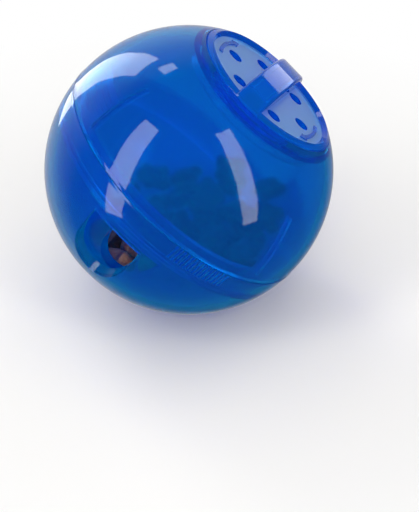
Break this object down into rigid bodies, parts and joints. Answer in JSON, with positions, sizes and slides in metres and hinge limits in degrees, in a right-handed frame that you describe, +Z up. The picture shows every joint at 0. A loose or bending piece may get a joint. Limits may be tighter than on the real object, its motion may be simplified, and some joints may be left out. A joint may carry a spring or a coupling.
{
  "type": "cat treat ball",
  "caption": "Clear blue feeder ball of two twisting halves, with an inner bowl that shutters its outlet, a vented lid with a grip bar, and treats inside.",
  "frame": {"origin": "the point where the ball touches the floor, under its centre", "axes": "+Z up; the ball's axis leans from +Z towards +X, with the lid at its top; -Y faces the viewer"},
  "size_m": [0.076, 0.0762, 0.076],
  "materials": {
    "shell_plastic": "clear gloss",
    "bowl_plastic": "clear gloss",
    "lid_plastic": "clear gloss, frosted pockets",
    "star_treat": "baked, rough",
    "heart_treat": "baked, rough"
  },
  "bodies": {
    "upper_half": {"upper_shell": "shell_plastic", "inner_bowl": "bowl_plastic", "star_treats": "star_treat", "heart_treats": "heart_treat"},
    "lower_half": {"lower_shell": "shell_plastic"},
    "lid": {"lid": "lid_plastic"}
  },
  "joints": [
    {"name": "twist", "type": "hinge", "parent": "upper_half", "child": "lower_half", "pos_m": [0, 0, 0.038], "axis": [0.6428, 0, 0.766], "range_deg": [-18, 10]},
    {"name": "lid_lift", "type": "slide", "parent": "upper_half", "child": "lid", "axis": [0.6428, 0, 0.766], "range_m": [0, 0.03]}
  ]
}
